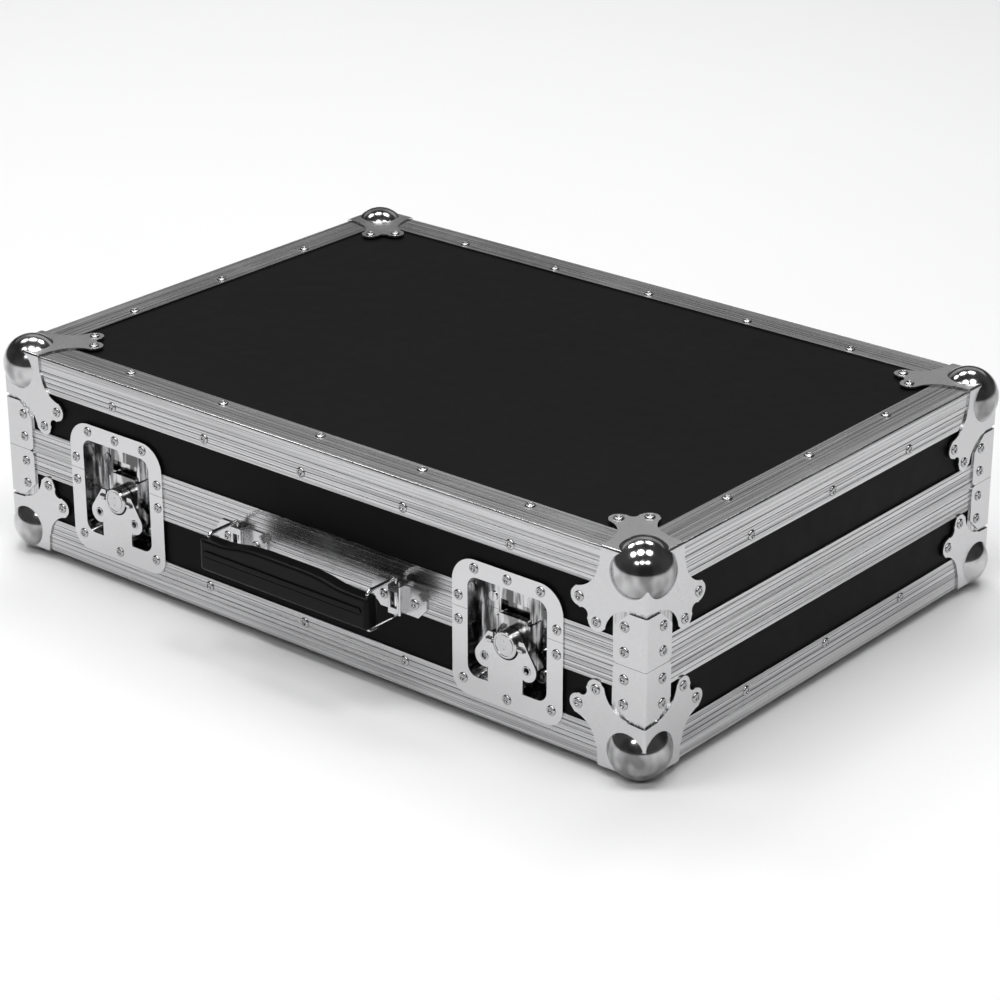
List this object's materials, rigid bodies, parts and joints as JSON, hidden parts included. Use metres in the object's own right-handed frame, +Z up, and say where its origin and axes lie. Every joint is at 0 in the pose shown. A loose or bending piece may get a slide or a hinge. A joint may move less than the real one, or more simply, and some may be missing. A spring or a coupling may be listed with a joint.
{
  "type": "lighting console flight case",
  "caption": "Shallow flight case with hinged lid, ribbed aluminium edges, ball corners, recessed butterfly latches and a folding front handle, foam lined for a console.",
  "frame": {"origin": "middle of the footprint of the whole case with its handle, on the surface that the ball feet stand on", "axes": "+X along the front to the right, the latches and handle face -Y, +Z up"},
  "size_m": [0.686, 0.5172, 0.192],
  "materials": {
    "laminated_board": "black phenolic laminate on birch plywood, satin",
    "extrusion": "mill finish aluminium extrusion with fine ribs",
    "zinc_sheet": "bright zinc plated pressed steel, satin",
    "ball": "pressed steel, polished ball",
    "latch_steel": "bright zinc plated steel",
    "barrel_steel": "turned zinc plated steel",
    "wire": "bright plated wire",
    "grip_rubber": "black moulded rubber, satin",
    "foam": "charcoal closed cell foam lining",
    "rivet": "tubular rivets, plated"
  },
  "bodies": {
    "base": {"base_back_edge_extrusion": "extrusion", "base_back_panel": "laminated_board", "base_back_rim": "extrusion", "base_ball_corner_back_left": "ball", "base_ball_corner_back_right": "ball", "base_ball_corner_front_left": "ball", "base_ball_corner_front_right": "ball", "base_bottom_panel": "laminated_board", "base_corner_angles": "extrusion", "base_corner_braces": "zinc_sheet", "base_foam_floor": "foam", "base_foam_walls": "foam", "base_front_edge_extrusion": "extrusion", "base_front_panel": "laminated_board", "base_front_rim": "extrusion", "base_left_panel": "laminated_board", "base_right_panel": "laminated_board", "base_rivets": "rivet", "base_side_edge_extrusions": "extrusion", "base_side_rims": "extrusion", "handle_brackets": "zinc_sheet", "hinge_base_leaves": "zinc_sheet", "hinge_pins": "barrel_steel", "latch_dish_left": "latch_steel", "latch_dish_right": "latch_steel"},
    "lid": {"hinge_lid_leaves": "zinc_sheet", "latch_keeper_left": "latch_steel", "latch_keeper_right": "latch_steel", "latch_lid_dish_left": "latch_steel", "latch_lid_dish_right": "latch_steel", "lid_back_edge_extrusion": "extrusion", "lid_back_panel": "laminated_board", "lid_back_rim": "extrusion", "lid_ball_corner_back_left": "ball", "lid_ball_corner_back_right": "ball", "lid_ball_corner_front_left": "ball", "lid_ball_corner_front_right": "ball", "lid_corner_angles": "extrusion", "lid_corner_braces": "zinc_sheet", "lid_foam_pad": "foam", "lid_front_edge_extrusion": "extrusion", "lid_front_panel": "laminated_board", "lid_front_rim": "extrusion", "lid_left_panel": "laminated_board", "lid_right_panel": "laminated_board", "lid_rivets": "rivet", "lid_side_edge_extrusions": "extrusion", "lid_side_rims": "extrusion", "lid_top_panel": "laminated_board"},
    "bail_left": {"handle_bail_left": "wire"},
    "bail_right": {"handle_bail_right": "wire"},
    "grip": {"handle_grip": "grip_rubber"},
    "barrel_left": {"latch_barrel_left": "barrel_steel", "latch_wing_pin_left": "barrel_steel"},
    "barrel_right": {"latch_barrel_right": "barrel_steel", "latch_wing_pin_right": "barrel_steel"},
    "hook_left": {"latch_hook_left": "latch_steel"},
    "hook_right": {"latch_hook_right": "latch_steel"},
    "wing_left": {"latch_wing_left": "latch_steel"},
    "wing_right": {"latch_wing_right": "latch_steel"}
  },
  "joints": [
    {"name": "lid_hinge", "type": "hinge", "parent": "base", "child": "lid", "pos_m": [0, 0.25438, 0.096], "axis": [-1, 0, 0], "range_deg": [0, 100]},
    {"name": "latch_turn_left", "type": "hinge", "parent": "base", "child": "barrel_left", "pos_m": [-0.2065, -0.21343, 0.079], "axis": [0, 1, 0], "range_deg": [0, 180]},
    {"name": "wing_fold_left", "type": "hinge", "parent": "barrel_left", "child": "wing_left", "pos_m": [-0.2065, -0.21518, 0.079], "axis": [-1, 0, 0], "range_deg": [0, 90]},
    {"name": "hook_slide_left", "type": "slide", "parent": "base", "child": "hook_left", "axis": [0, 0, 1], "range_m": [0, 0.0082]},
    {"name": "latch_turn_right", "type": "hinge", "parent": "base", "child": "barrel_right", "pos_m": [0.2065, -0.21343, 0.079], "axis": [0, 1, 0], "range_deg": [0, 180]},
    {"name": "wing_fold_right", "type": "hinge", "parent": "barrel_right", "child": "wing_right", "pos_m": [0.2065, -0.21518, 0.079], "axis": [-1, 0, 0], "range_deg": [0, 90]},
    {"name": "hook_slide_right", "type": "slide", "parent": "base", "child": "hook_right", "axis": [0, 0, 1], "range_m": [0, 0.0082]},
    {"name": "handle_fold", "type": "hinge", "parent": "base", "child": "bail_left", "pos_m": [-0.06455, -0.21843, 0.0865], "axis": [0, 0, 1], "range_deg": [-55, 55]},
    {"name": "bail_fold_right", "type": "hinge", "parent": "base", "child": "bail_right", "pos_m": [0.10095, -0.21843, 0.0865], "axis": [0, 0, 1], "range_deg": [-55.5, 55.5]},
    {"name": "grip_pivot", "type": "hinge", "parent": "bail_left", "child": "grip", "pos_m": [-0.06455, -0.25093, 0.0865], "axis": [0, 0, 1], "range_deg": [-55.5, 55.5]}
  ],
  "couplings": [
    {"joint": "hook_slide_left", "follows": "latch_turn_left", "m_per_rad": 0.0025465},
    {"joint": "hook_slide_right", "follows": "latch_turn_right", "m_per_rad": 0.0025465},
    {"joint": "bail_fold_right", "follows": "handle_fold", "ratio": 1},
    {"joint": "grip_pivot", "follows": "handle_fold", "ratio": -1}
  ]
}
